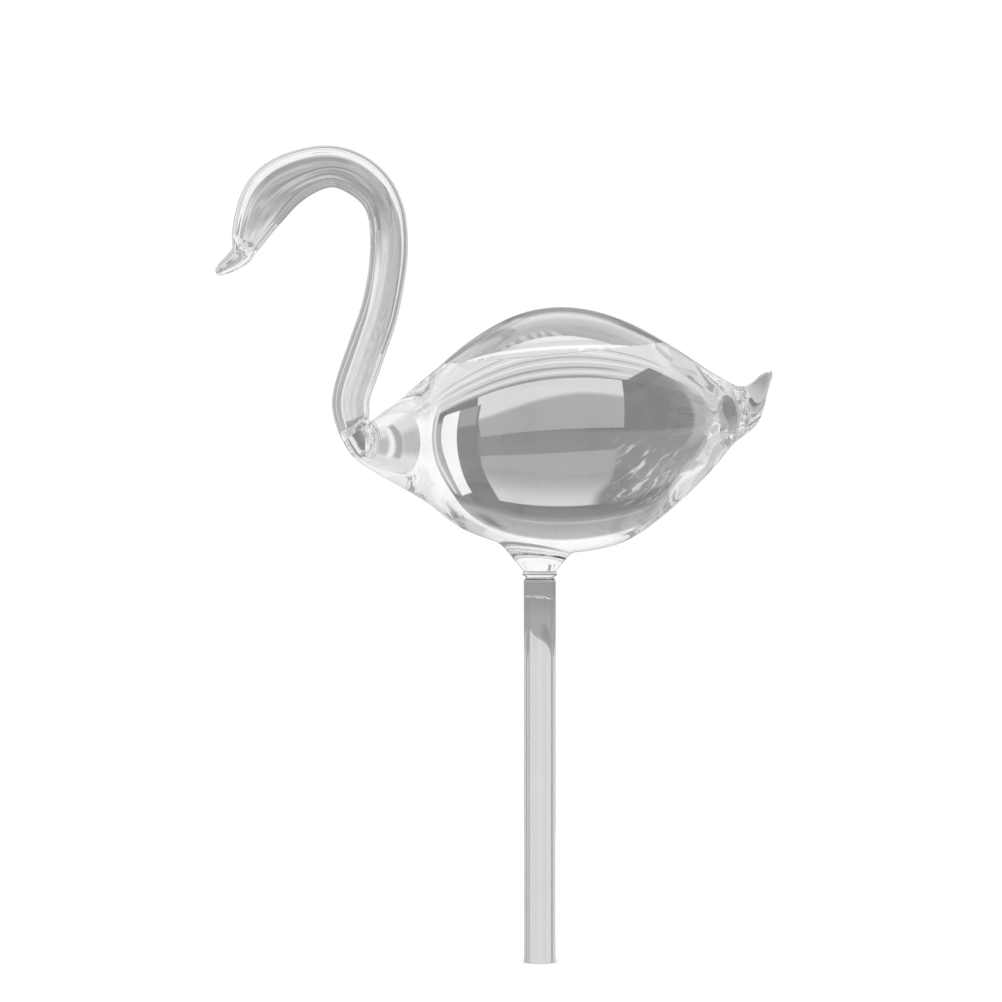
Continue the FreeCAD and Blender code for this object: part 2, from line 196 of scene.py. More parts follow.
class Net:
    """Vertices and faces of one closed piece, in millimetres."""

    def __init__(self):
        self.v, self.f, self.m, self.count = [], [], [], 0

    def add(self, points):
        points = np.asarray(points, float).reshape(-1, 3)
        start = self.count
        self.v.append(points)
        self.count += len(points)
        return start

    def face(self, idx, mat):
        self.f.append(tuple(int(i) for i in idx))
        self.m.append(mat)

    def grid(self, p, mat, flip=False, closed=True):
        """Quads over rings p (rows, angles, xyz); returns the first index."""
        n, m = p.shape[:2]
        s = self.add(p)
        mats = np.broadcast_to(np.asarray(mat), (n - 1,))
        for i in range(n - 1):
            for j in range(m if closed else m - 1):
                k = (j + 1) % m
                q = (s + i * m + j, s + (i + 1) * m + j, s + (i + 1) * m + k, s + i * m + k)
                self.face(q[::-1] if flip else q, mats[i])
        return s

    def fan(self, loop, tip, mat, flip=False):
        t = self.add([tip])
        n = len(loop)
        for j in range(n):
            q = (loop[j], loop[(j + 1) % n], t)
            self.face(q[::-1] if flip else q, mat)

    def strip(self, a, b, mat, flip=False):
        """Quads between two loops of the same length."""
        n = len(a)
        for j in range(n):
            k = (j + 1) % n
            q = (a[j], b[j], b[k], a[k])
            self.face(q[::-1] if flip else q, mat)


def loop_of(start, row, m):
    return [start + row * m + j for j in range(m)]


def islands(bm):
    """The separate shells of a mesh, largest first."""
    left, out = set(bm.faces), []
    while left:
        start = left.pop()
        shell, stack = [start], [start]
        while stack:
            for e in stack.pop().edges:
                for f in e.link_faces:
                    if f in left:
                        left.remove(f)
                        shell.append(f)
                        stack.append(f)
        out.append(shell)
    return sorted(out, key=len, reverse=True)


def piece(name, net, materials, nodes=(), sharp=35):
    """Makes the object, closed and right way out, and hangs it on the frame.  The piece's first shell is
    its outside; any other shell is a hollow in it, whose faces look inwards."""
    mesh = bpy.data.meshes.new(name)
    mesh.from_pydata((np.concatenate(net.v) * MM).tolist(), [], net.f)
    mesh.polygons.foreach_set("material_index", np.array(net.m, np.int32))
    bm = bmesh.new()
    bm.from_mesh(mesh)
    bmesh.ops.remove_doubles(bm, verts=bm.verts, dist=1e-8)
    loose = [v for v in bm.verts if not v.link_faces]
    bmesh.ops.delete(bm, geom=loose, context="VERTS")
    open_edges = sum(1 for e in bm.edges if len(e.link_faces) != 2)
    shells = islands(bm)
    size = [max(v.co.x for f in s for v in f.verts) - min(v.co.x for f in s for v in f.verts) for s in shells]
    for s, w in zip(shells, size):
        bmesh.ops.recalc_face_normals(bm, faces=s)
        if w < max(size):
            bmesh.ops.reverse_faces(bm, faces=s)
    volume = bm.calc_volume(signed=True) * 1e9
    bm.to_mesh(mesh)
    bm.free()
    mesh.polygons.foreach_set("use_smooth", np.ones(len(mesh.polygons), bool))
    mesh.set_sharp_from_angle(angle=math.radians(sharp))
    for m in materials:
        mesh.materials.append(m)
    ob = bpy.data.objects.new(name, mesh)
    bpy.context.scene.collection.objects.link(ob)
    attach(ob, "root")
    if nodes:
        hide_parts(*nodes)
    print("%-18s faces %6d  shells %d  volume %8.1f mm3  open edges %d" % (
        name, len(mesh.polygons), len(shells), volume, open_edges))
    return ob


def smin(a, b, k):
    """Smooth minimum."""
    h = np.clip(0.5 + 0.5 * (b - a) / k, 0, 1)
    return b + (a - b) * h - k * h * (1 - h)


def cut_loops(points, faces_grid, plane_z):
    """Trims an open surface at a level plane and keeps what is above it.
    Returns points, faces and the loop on the plane, in order round the stem."""
    bm = bmesh.new()
    verts = [bm.verts.new(p) for p in points]
    for f in faces_grid:
        bm.faces.new([verts[i] for i in f])
    geom = bm.verts[:] + bm.edges[:] + bm.faces[:]
    bmesh.ops.bisect_plane(bm, geom=geom, dist=1e-5, plane_co=(0, 0, plane_z), plane_no=(0, 0, -1), clear_outer=True)
    bmesh.ops.remove_doubles(bm, verts=[v for v in bm.verts if abs(v.co.z - plane_z) < 1e-4], dist=0.02)
    bm.verts.ensure_lookup_table()
    bm.verts.index_update()
    pts = np.array([v.co for v in bm.verts])
    faces = [[v.index for v in f.verts] for f in bm.faces]
    edge = [
        v.index for v in bm.verts
        if abs(v.co.z - plane_z) < 1e-4 and math.hypot(v.co.x, v.co.y) < 8 and any(e.is_boundary for e in v.link_edges)
    ]
    edge.sort(key=lambda i: math.atan2(pts[i, 1], pts[i, 0]))
    bm.free()
    return pts, faces, edge


def grid_faces(n, m, flip=False):
    out = []
    for i in range(n - 1):
        for j in range(m):
            k = (j + 1) % m
            q = [i * m + j, (i + 1) * m + j, (i + 1) * m + k, i * m + k]
            out.append(q[::-1] if flip else q)
    return out


def nearest(pts, wanted):
    """The vertices that are the wanted points."""
    return [int(np.argmin(((pts - w) ** 2).sum(1))) for w in wanted]


def zip_rings(net, a, b, mat, flip=False):
    """Triangles between two loops round the stem that have different numbers of points."""
    v = np.concatenate(net.v)
    ang = lambda i: math.atan2(v[i][1], v[i][0])
    i = j = 0
    na, nb = len(a), len(b)
    while i < na or j < nb:
        ta = ang(a[(i + 1) % na]) + (2 * math.pi if i + 1 >= na else 0) if i < na else 1e9
        tb = ang(b[(j + 1) % nb]) + (2 * math.pi if j + 1 >= nb else 0) if j < nb else 1e9
        if ta <= tb:
            q = (a[i % na], a[(i + 1) % na], b[j % nb])
            i += 1
        else:
            q = (a[i % na], b[(j + 1) % nb], b[j % nb])
            j += 1
        net.face(q[::-1] if flip else q, mat)


# ---------------------------------------------------------------- shader helpers
def rgb(v):
    return (v, v, v, 1.0) if not hasattr(v, "__len__") else (*v, 1.0)


def principled(name, ior, tint_lo, tint_hi, scale, wave=0.0):
    """Clear material; its tint drifts a little from place to place, and so may its face."""
    m = bpy.data.materials.new(name)
    m.use_nodes = True
    t = m.node_tree
    b = t.nodes["Principled BSDF"]
    b.inputs["Roughness"].default_value = 0.0
    b.inputs["IOR"].default_value = ior
    b.inputs["Transmission Weight"].default_value = 1.0
    c = t.nodes.new("ShaderNodeTexCoord")
    n = t.nodes.new("ShaderNodeTexNoise")
    n.inputs["Scale"].default_value = scale
    n.inputs["Detail"].default_value = 1.0
    t.links.new(c.outputs["Object"], n.inputs["Vector"])
    r = t.nodes.new("ShaderNodeValToRGB")
    r.color_ramp.elements[0].position, r.color_ramp.elements[1].position = 0.3, 0.7
    r.color_ramp.elements[0].color = (tint_lo, tint_lo, tint_lo, 1)
    r.color_ramp.elements[1].color = (tint_hi, tint_hi, tint_hi, 1)
    t.links.new(n.outputs["Fac"], r.inputs["Fac"])
    t.links.new(r.outputs["Color"], b.inputs["Base Color"])
    if wave:
        w = t.nodes.new("ShaderNodeBump")
        w.inputs["Distance"].default_value = wave
        t.links.new(n.outputs["Fac"], w.inputs["Height"])
        t.links.new(w.outputs["Normal"], b.inputs["Normal"])
    return m


glass = principled("clear_glass", 1.47, 0.965, 0.98, 70, 0.00004)
fused = principled("fused_seam", 1.0, 0.995, 1.0, 70)
wetted = principled("wetted_glass", 1.47 / 1.33, 0.98, 0.99, 70, 0.00004)
water_top = principled("water_surface", 1.33, 0.985, 0.995, 40, 0.00002)
water_side = principled("water_side", 1.0, 0.995, 1.0, 40)

# ---------------------------------------------------------------- body: bulb, shoulder and tail outline
body = Path(BULB + TAIL, 11.0)
s_tail = body.marks[16]


def cone_out(r):
    return 110.2 + (r - 4.66) * (10.0 / 8.2)


def cone_in(r):
    return 110.6 + (r - 3.3) * (9.6 / 7.87)


def pull_down(p, cone, k):
    """The bulb's floor drawn down into the shoulder."""
    r = np.hypot(p[..., 0], p[..., 1])
    z = p[..., 2]
    low = z < 140
    p[..., 2] = np.where(low, smin(z, cone(r), k), z)
    return p


q_bulb = np.unique(np.concatenate([
    np.linspace(0, 6, 16), np.linspace(6, 42, 44), np.linspace(42, 72, 66), np.linspace(72, s_tail, 62)]))
phi_bulb = around(168, 0.35)
outer = pull_down(rings(body.at(q_bulb), phi_bulb), cone_out, 1.6)
n_out, m_out = outer.shape[:2]
# ripples that the tool left in the soft glass, below the root of the tail, on both sides
rng = np.random.default_rng(7)
x, y, z = outer[..., 0], outer[..., 1], outer[..., 2]
wave = np.zeros_like(x)
for _ in range(14):
    turn, length = math.radians(rng.uniform(105, 150)), rng.uniform(2.0, 3.4)
    wave += np.sin(2 * math.pi / length * (x * math.cos(turn) + z * math.sin(turn)) + rng.uniform(0, 6.3))
where = np.exp(-((x - 32) / 10.0) ** 2 - ((z - 136.5 - (x - 32) * 0.55) / 5.0) ** 2) * np.clip(np.abs(y) / 6.0, 0, 1)
outer[..., 1] += 0.026 * wave * where * np.sign(y)

CAV_END = s_tail + 1.0       # where the cavity closes, by the root of the tail
CAV_ROUND = 7.5


def cavity(gap):
    q0 = CAV_END - CAV_ROUND
    t = np.linspace(0, 1, 22)
    q_end = q0 + CAV_ROUND * np.sin(t * math.pi / 2)
    q = np.concatenate([q_bulb[q_bulb < q0 - 0.2], q_end[:-1]])
    rows = body.inside(q, WALL + gap)
    share = np.ones(len(q))
    share[-21:] = np.sqrt(np.maximum(1 - ((q[-21:] - q0) / CAV_ROUND) ** 2, 0)) ** 0.9
    rows = shrink(rows, np.maximum(share, 0.02))
    p = rings(rows, phi_bulb)
    p = pull_down(p, lambda r: cone_in(r + gap), 1.4)
    last = body.at([CAV_END - gap * 1.5])[0]
    return p, np.array([(last[0] + last[2]) / 2, 0, (last[1] + last[3]) / 2])


def surface_z(x, y, rise=0.0):
    return SURF_Z + (x - SURF_X) * TILT_X + y * TILT_Y + rise


# -- the glass
net = Net()
pts, faces, hole_out = cut_loops(outer.reshape(-1, 3), grid_faces(n_out, m_out), WELD_TOP)
first, last = nearest(pts, outer[0]), nearest(pts, outer[-1])
net.add(pts)
for f in faces:
    net.face(f, GLASS)
centre_tail = outer[-1].mean(0)
net.fan(last, centre_tail, FUSED)

inner, inner_tip = cavity(0.0)
bm = bmesh.new()
verts = [bm.verts.new(p) for p in inner.reshape(-1, 3)]
for f in grid_faces(*inner.shape[:2], flip=True):
    bm.faces.new([verts[i] for i in f])
tip = bm.verts.new(inner_tip)
m_in = inner.shape[1]
base = (inner.shape[0] - 1) * m_in
for j in range(m_in):
    bm.faces.new([tip, verts[base + (j + 1) % m_in], verts[base + j]])
geom = bm.verts[:] + bm.edges[:] + bm.faces[:]
normal = np.array([-TILT_X, -TILT_Y, 1.0])
bmesh.ops.bisect_plane(bm, geom=geom, dist=1e-5, plane_co=(SURF_X, 0, SURF_Z + RISE), plane_no=tuple(normal))
geom = bm.verts[:] + bm.edges[:] + bm.faces[:]
bmesh.ops.bisect_plane(bm, geom=geom, dist=1e-5, plane_co=(0, 0, 110.6), plane_no=(0, 0, -1), clear_outer=True)
bmesh.ops.remove_doubles(bm, verts=[v for v in bm.verts if abs(v.co.z - 110.6) < 1e-4], dist=0.02)
bm.verts.ensure_lookup_table()
bm.verts.index_update()
pts_in = np.array([v.co for v in bm.verts])
off = net.add(pts_in)
for f in bm.faces:
    c = f.calc_center_median()
    wet = c.z < surface_z(c.x, c.y, RISE)
    net.face([off + v.index for v in f.verts], WETTED if wet else GLASS)
hole = [v.index for v in bm.verts if abs(v.co.z - 110.6) < 1e-4 and any(e.is_boundary for e in v.link_edges)]
hole.sort(key=lambda i: math.atan2(pts_in[i, 1], pts_in[i, 0]))
bm.free()
first_in = [off + i for i in nearest(pts_in, inner[0])]
# ring across the breast's end, fused to the seal
net.strip(first, first_in, FUSED, flip=True)
# throat: straight bore down to the weld, then the ring that is fused to it
ang = np.array([math.atan2(pts_in[i, 1], pts_in[i, 0]) for i in hole])
low = net.add(np.stack([BORE_R * np.cos(ang), BORE_R * np.sin(ang), np.full(len(ang), WELD_TOP)], 1))
low_loop = [low + i for i in range(len(ang))]
top_loop = [off + i for i in hole]
net.strip(top_loop, low_loop, WETTED, flip=True)
zip_rings(net, hole_out, low_loop, FUSED)
bulb_glass = piece("bulb_glass", net, [glass, fused, wetted], ("body_bulb", "shoulder_cone"))

# ---------------------------------------------------------------- tail
net = Net()
q_tail = np.linspace(s_tail, body.s[-1], 100)
rows = body.at(q_tail)
phi = around(168)
p = rings(rows, phi)
# the round point: rings that shrink over a half turn round the last station
end = rows[-1]
prev = rows[-8]
fwd = np.array([end[0] + end[2] - prev[0] - prev[2], 0, end[1] + end[3] - prev[1] - prev[3]])
fwd /= np.linalg.norm(fwd)
c_end = np.array([(end[0] + end[2]) / 2, 0, (end[1] + end[3]) / 2])
dome = []
for t in np.linspace(0, math.pi / 2, 10)[1:-1]:
    dome.append(c_end + (p[-1] - c_end) * math.cos(t) + fwd * 1.38 * math.sin(t))
p = np.concatenate([p, np.array(dome)])
s = net.grid(p, GLASS)
m = len(phi)
net.fan(loop_of(s, 0, m), p[0].mean(0), FUSED, flip=True)
net.fan(loop_of(s, len(p) - 1, m), c_end + fwd * 1.38, GLASS)
tail_glass = piece("tail_glass", net, [glass, fused], ("tail_tip",), sharp=60)

# ---------------------------------------------------------------- neck and head
neck = Path(NECK, 6.0)
net = Net()
phi = around(156)
m = len(phi)
q_neck = np.linspace(0, neck.s[-1], 310)
p = rings(neck.at(q_neck), phi)
s = net.grid(p, GLASS)
net.fan(loop_of(s, 0, m), p[0].mean(0), FUSED, flip=True)
net.fan(loop_of(s, len(p) - 1, m), p[-1].mean(0), FUSED)
q0, q1 = 0.25, neck.s[-1] - 1.2
t = np.linspace(0, 1, 16)
L0, L1 = 1.3, 3.2
q_in = np.concatenate([q0 + L0 * (1 - np.cos(t * math.pi / 2)), np.linspace(q0 + L0, q1 - L1, 275)[1:-1], q1 - L1 + L1 * np.sin(t * math.pi / 2)])
share = np.ones(len(q_in))
share[:16] = np.maximum(1 - ((q0 + L0 - q_in[:16]) / L0) ** 5, 0) ** 0.2
share[-16:] = np.sqrt(np.maximum(1 - ((q_in[-16:] - q1 + L1) / L1) ** 2, 0))
rows = shrink(neck.inside(q_in, 1.3), np.maximum(share, 0.0))
p = rings(rows, phi)[1:-1]
# faint lengthwise ridges that drawing leaves in the tube
ridge = sum(h * np.sin(k * phi[None, :] + f + g * q_in[1:-1, None]) for h, k, f, g in (
    (0.030, 5, 1.3, 0.03), (0.024, 8, 4.0, -0.045), (0.016, 13, 2.0, 0.035)))
mid = p.mean(1, keepdims=True)
rad = np.linalg.norm(p - mid, axis=2)
p = mid + (p - mid) * (1 + ridge * np.clip(rad / 2.0, 0, 1) / np.maximum(rad, 0.2))[:, :, None]
s = net.grid(p, GLASS, flip=True)
tips = neck.at([q0, q1])
net.fan(loop_of(s, 0, m), [(tips[0, 0] + tips[0, 2]) / 2, 0, (tips[0, 1] + tips[0, 3]) / 2], GLASS)
net.fan(loop_of(s, len(p) - 1, m), [(tips[1, 0] + tips[1, 2]) / 2, 0, (tips[1, 1] + tips[1, 3]) / 2], GLASS, flip=True)
neck_glass = piece("neck_glass", net, [glass, fused], ("neck_and_head",), sharp=60)

# ---------------------------------------------------------------- seal at the neck's root, and the closed end in the breast
n0, b0 = np.array(NECK[0]), np.array(BULB[0])
phi = phi_bulb
m = len(phi)


def flat(row, share=1.0):
    return rings(shrink(np.array([row]), [share]), phi)[0]


# the neck's station a is its front, which meets the bulb's lower point b
n0r = np.array([n0[2], n0[3], n0[0], n0[1], n0[4]])
span = math.hypot(b0[0] - b0[2], b0[1] - b0[3])
inward = np.array([(b0[1] - b0[3]) / span, 0, (b0[2] - b0[0]) / span])
along = np.array([(b0[0] - b0[2]) / span, 0, (b0[1] - b0[3]) / span])
foot = np.array([b0[0] + (b0[2] - b0[0]) * 0.53, 0, b0[1] + (b0[3] - b0[1]) * 0.53])


def cup_axis(h):
    """The closed end leans up and back as it swells."""
    return foot + inward * h + along * 1.9 * math.sin(min(h / 4.0, 1.0) * math.pi / 2)


def cup_ring(r, h):
    return cup_axis(h) + along * (r * np.cos(phi))[:, None] + np.array([0, 1.0, 0]) * (r * np.sin(phi))[:, None]


net = Net()
inner0 = inner[0]
loops = [flat(n0r), flat((n0r + b0) / 2, 1.0), flat(b0)]
s = net.grid(np.array(loops), GLASS)
net.fan(loop_of(s, 0, m), loops[0].mean(0), FUSED, flip=True)
cap = np.array([loops[2], inner0, cup_ring(2.75, 0), cup_ring(2.1, 0), cup_ring(0.9, 0)])
s2 = net.grid(cap, [FUSED, WETTED, FUSED, GLASS])
net.fan(loop_of(s2, 4, m), foot, GLASS)
seal_glass = piece("neck_seal_glass", net, [glass, fused, wetted], ("neck_root_seal",), sharp=50)

net = Net()


def sack(r_mouth, r_wide, h_wide, h_end):
    """Profile of the closed end: swells from the mouth and closes round."""
    t = np.linspace(0.08, 1, 12)
    swell = [(r_mouth + (r_wide - r_mouth) * math.sin(k * math.pi / 2), h_wide * k) for k in t]
    cap = [(r_wide * math.cos(k), h_wide + (h_end - h_wide) * math.sin(k)) for k in np.linspace(0, math.pi / 2, 18)[1:-1]]
    return [(r_mouth, 0.0)] + swell + cap


prof = sack(2.75, 4.3, 4.0, 8.3)
s = net.grid(np.array([cup_ring(r, h) for r, h in prof]), WETTED)
net.fan(loop_of(s, len(prof) - 1, m), cup_axis(8.3), WETTED)
prof2 = sack(2.1, 3.75, 3.95, 7.7)
s2 = net.grid(np.array([cup_ring(r, h) for r, h in prof2]), GLASS, flip=True)
net.fan(loop_of(s2, len(prof2) - 1, m), cup_axis(7.7), GLASS, flip=True)
net.strip(loop_of(s, 0, m), loop_of(s2, 0, m), FUSED, flip=True)
cup_glass = piece("neck_cup_glass", net, [glass, fused, wetted], ("neck_root_cup",), sharp=50)

# ---------------------------------------------------------------- beak seam and beak
phi = around(64)
m = len(phi)
h0 = np.array(NECK[-1])
h0r = np.array([h0[2], h0[3], h0[0], h0[1], h0[4]])
k0 = np.array(BEAK[0])
net = Net()
a, b = rings(np.array([h0r]), phi)[0], rings(np.array([k0]), phi)[0]
mid = (h0r + k0) / 2
rowsm = [a, rings(shrink(np.array([h0r * 0.72 + k0 * 0.28]), [1.03]), phi)[0], rings(shrink(np.array([mid]), [1.04]), phi)[0],
         rings(shrink(np.array([h0r * 0.28 + k0 * 0.72]), [1.03]), phi)[0], b]
s = net.grid(np.array(rowsm), GLASS)
net.fan(loop_of(s, 0, m), a.mean(0), FUSED, flip=True)
net.fan(loop_of(s, 4, m), b.mean(0), FUSED)
seam_glass = piece("beak_seam_glass", net, [glass, fused], ("beak_seam",), sharp=60)

beak = Path(BEAK, 2.0, 120)
net = Net()
q = np.linspace(0, beak.s[-1], 40)
rows = beak.at(q)
p = rings(rows, phi)
end = rows[-1]
c_end = np.array([(end[0] + end[2]) / 2, 0, (end[1] + end[3]) / 2])
fwd = np.array([-(end[3] - end[1]), 0, end[2] - end[0]])
fwd /= np.linalg.norm(fwd)
if fwd[0] > 0:
    fwd = -fwd
dome = [c_end + (p[-1] - c_end) * math.cos(t) + fwd * 1.26 * math.sin(t) for t in np.linspace(0, math.pi / 2, 10)[1:-1]]
p = np.concatenate([p, np.array(dome)])
s = net.grid(p, GLASS)
net.fan(loop_of(s, 0, m), p[0].mean(0), FUSED, flip=True)
net.fan(loop_of(s, len(p) - 1, m), c_end + fwd * 1.26, GLASS)
beak_glass = piece("beak_glass", net, [glass, fused], ("beak_tip",), sharp=60)

# ---------------------------------------------------------------- stem and weld, turned about the stem's axis
N_ROUND = 96
turn = np.linspace(0, 2 * math.pi, N_ROUND, endpoint=False)


def spin(profile):
    pr = np.array(profile)
    p = np.zeros((len(pr), N_ROUND, 3))
    p[:, :, 0] = pr[:, 0:1] * np.cos(turn)
    p[:, :, 1] = pr[:, 0:1] * np.sin(turn)
    p[:, :, 2] = pr[:, 1:2]
    return p


WATER_END = 102.6         # the water in the stem ends here
stem_top = 107.8
lip = 0.35
prof_out = [(BORE_R + lip - lip * math.sin(t), lip - lip * math.cos(t)) for t in np.linspace(math.pi / 2, 0, 6)]
prof_out += [(STEM_R - lip + lip * math.sin(t), lip - lip * math.cos(t)) for t in np.linspace(0, math.pi / 2, 6)]
prof_out += [(STEM_R, z) for z in np.linspace(4, 106.9, 40)]
prof_out += [(STEM_R - 0.2 * (1 - math.cos(t * math.pi)) / 2, 107.0 + 0.8 * t) for t in np.linspace(0.15, 1, 8)]
net = Net()
s = net.grid(spin(prof_out), GLASS)
n_o = len(prof_out)
prof_in = [(BORE_R, z) for z in np.linspace(107.8, lip, 60)]
s2 = net.add(spin(prof_in)[:-1])
m = N_ROUND
for i in range(len(prof_in) - 1):
    a = loop_of(s2, i, m)
    b = loop_of(s2, i + 1, m) if i + 1 < len(prof_in) - 1 else loop_of(s, 0, m)
    wet = prof_in[i][1] > WATER_END
    net.strip(a, b, WETTED if wet else GLASS)
net.strip(loop_of(s, n_o - 1, m), loop_of(s2, 0, m), FUSED)
stem_glass = piece("stem_glass", net, [glass, fused, wetted], ("stem_tube",), sharp=50)

net = Net()
r_a = STEM_R - 0.2
weld = [(r_a, 107.8), (4.13, 108.0), (4.05, 108.25), (4.1, 108.5), (4.45, 108.72), (4.75, 108.98), (4.85, 109.3),
        (4.83, 109.6), (4.72, 109.9), (4.66, 110.2)]
wl = np.array(weld)
sw = np.concatenate([[0], np.cumsum(np.hypot(*np.diff(wl, axis=0).T))])
prof_out = natural(sw, wl, np.linspace(0, sw[-1], 36))
s = net.grid(spin(prof_out), GLASS)
prof_in = [(BORE_R, z) for z in np.linspace(WELD_TOP, stem_top, 6)]
s2 = net.grid(spin(prof_in), WETTED)
net.strip(loop_of(s, 0, m), loop_of(s2, 5, m), FUSED, flip=True)
net.strip(loop_of(s, 35, m), loop_of(s2, 0, m), FUSED)
weld_glass = piece("stem_weld_glass", net, [glass, fused, wetted], ("stem_weld",), sharp=70)

# ---------------------------------------------------------------- water
wet_inner, wet_tip = cavity(WET_GAP)
bm = bmesh.new()
verts = [bm.verts.new(p) for p in wet_inner.reshape(-1, 3)]
m_in = wet_inner.shape[1]
for f in grid_faces(*wet_inner.shape[:2]):
    bm.faces.new([verts[i] for i in f])
tip = bm.verts.new(wet_tip)
base = (wet_inner.shape[0] - 1) * m_in
for j in range(m_in):
    bm.faces.new([verts[base + j], verts[base + (j + 1) % m_in], tip])
c = bm.verts.new(wet_inner[0].mean(0) + inward * WET_GAP)
for j in range(m_in):
    verts[j].co += type(verts[j].co)(tuple(inward * WET_GAP))
for j in range(m_in):
    bm.faces.new([verts[(j + 1) % m_in], verts[j], c])
geom = bm.verts[:] + bm.edges[:] + bm.faces[:]
bmesh.ops.bisect_plane(bm, geom=geom, dist=1e-5, plane_co=(SURF_X, 0, SURF_Z + RISE), plane_no=tuple(normal), clear_outer=True)
geom = bm.verts[:] + bm.edges[:] + bm.faces[:]
bmesh.ops.bisect_plane(bm, geom=geom, dist=1e-5, plane_co=(0, 0, 110.6), plane_no=(0, 0, -1), clear_outer=True)
near = [v for v in bm.verts if abs(v.co.z - 110.6) < 1e-4 or abs(v.co.z - surface_z(v.co.x, v.co.y, RISE)) < 1e-4]
bmesh.ops.remove_doubles(bm, verts=near, dist=0.02)
bm.verts.ensure_lookup_table()
bm.verts.index_update()
pts_w = np.array([v.co for v in bm.verts])
net = Net()
net.add(pts_w)
for f in bm.faces:
    net.face([v.index for v in f.verts], FUSED)
rim, hole = [], []
for v in bm.verts:
    if any(e.is_boundary for e in v.link_edges):
        (hole if v.co.z < 112 else rim).append(v.index)
bm.free()
# free surface with its meniscus
cx, cy = pts_w[rim, 0].mean(), 0.0
rim.sort(key=lambda i: math.atan2((pts_w[i, 1] - cy) * 1.4, pts_w[i, 0] - cx))
edge = pts_w[rim]
centre = np.array([cx, cy])
dirs = edge[:, :2] - centre
dist = np.hypot(*dirs.T)[:, None]
loop = list(rim)
for d in [0.15, 0.35, 0.6, 0.95, 1.4, 2.0, 2.8, 3.8, 5.2, 7.5, 10.5, 14.0]:
    keep = np.maximum(dist - d, 0.12 * dist)
    xy = centre + dirs / dist * keep
    z = surface_z(xy[:, 0], xy[:, 1], RISE * math.exp(-d / CAP_LEN))
    nxt = net.add(np.column_stack([xy, z]))
    nxt = [nxt + i for i in range(len(rim))]
    net.strip(loop, nxt, SURFACE, flip=True)
    loop = nxt
net.fan(loop, [cx, cy, surface_z(cx, cy, 0.0)], SURFACE)
# column in the stem, with a slanted, hollow end
hole.sort(key=lambda i: math.atan2(pts_w[i, 1], pts_w[i, 0]))
ang = np.array([math.atan2(pts_w[i, 1], pts_w[i, 0]) for i in hole])
rw = BORE_R - WET_GAP
loop = list(hole)
for z in [110.2, 108, 106, 104]:
    nxt = net.add(np.stack([rw * np.cos(ang), rw * np.sin(ang), np.full(len(ang), float(z))], 1))
    nxt = [nxt + i for i in range(len(ang))]
    net.strip(loop, nxt, FUSED, flip=True)
    loop = nxt
SLANT = -0.12


def end_z(x, r):
    return WATER_END + SLANT * x + 0.9 * (1 - (r / rw) ** 2)


for r in [1.0, 0.93, 0.82, 0.66, 0.48, 0.28]:
    x, y = rw * r * np.cos(ang), rw * r * np.sin(ang)
    nxt = net.add(np.stack([x, y, end_z(x, rw * r)], 1))
    nxt = [nxt + i for i in range(len(ang))]
    net.strip(loop, nxt, FUSED if r == 1.0 else SURFACE, flip=True)
    loop = nxt
net.fan(loop, [0, 0, end_z(0, 0)], SURFACE, flip=True)
water = piece("water_fill", net, [glass, water_side, wetted, water_top], (), sharp=60)

# ---------------------------------------------------------------- light, floor and backdrop
scene = bpy.context.scene
scene.view_settings.view_transform = "Standard"
scene.view_settings.look = "None"
scene.view_settings.exposure = 0
scene.view_settings.gamma = 1
scene.cycles.max_bounces = 160
scene.cycles.transmission_bounces = 160
scene.cycles.glossy_bounces = 160
scene.cycles.transparent_max_bounces = 16


class Val:
    """A shader value, so that node trees can be written as sums."""

    def __init__(self, tree, sock):
        self.tree, self.sock = tree, sock

    def op(self, kind, *others, clamp=False):
        n = self.tree.nodes.new("ShaderNodeMath")
        n.operation, n.use_clamp = kind, clamp
        for i, o in enumerate((self,) + others):
            if isinstance(o, Val):
                self.tree.links.new(o.sock, n.inputs[i])
            else:
                n.inputs[i].default_value = float(o)
        return Val(self.tree, n.outputs[0])

    def __add__(self, o):
        return self.op("ADD", o)

    def __sub__(self, o):
        return self.op("SUBTRACT", o)

    def __mul__(self, o):
        return self.op("MULTIPLY", o)

    def step(self, lo, hi):
        """0 below lo, 1 above hi, smooth between."""
        n = self.tree.nodes.new("ShaderNodeMapRange")
        n.interpolation_type = "SMOOTHSTEP"
        self.tree.links.new(self.sock, n.inputs["Value"])
        n.inputs["From Min"].default_value, n.inputs["From Max"].default_value = lo, hi
        return Val(self.tree, n.outputs["Result"])

    def band(self, lo, hi, soft):
        """1 between lo and hi."""
        return self.step(lo - soft, lo + soft) * (self.op("MULTIPLY", -1).step(-hi - soft, -hi + soft))


world = bpy.data.worlds.new("studio")
scene.world = world
world.use_nodes = True
world.node_tree.nodes["Background"].inputs["Color"].default_value = (0.9, 0.9, 0.9, 1)

# the tent round the object, which only the glass sees: a ball round the bulb's middle, lit like a
# window with dark frames between white walls, the same on each of its four sides
TENT_R = 600
tent_mesh = bpy.data.meshes.new("tent")
bm = bmesh.new()
bmesh.ops.create_icosphere(bm, subdivisions=6, radius=TENT_R * MM)
bm.to_mesh(tent_mesh)
bm.free()
tent_mesh.polygons.foreach_set("use_smooth", np.ones(len(tent_mesh.polygons), bool))
tent = bpy.data.objects.new("tent", tent_mesh)
tent.location = (5.8 * MM, 0, 150 * MM)
scene.collection.objects.link(tent)
tent.visible_camera = tent.visible_diffuse = tent.visible_shadow = False
mat = bpy.data.materials.new("soft_panels")
mat.use_nodes = True
tree = mat.node_tree
tree.nodes.clear()
coord = tree.nodes.new("ShaderNodeTexCoord")
unit = tree.nodes.new("ShaderNodeVectorMath")
unit.operation = "NORMALIZE"
tree.links.new(coord.outputs["Object"], unit.inputs[0])
sep = tree.nodes.new("ShaderNodeSeparateXYZ")
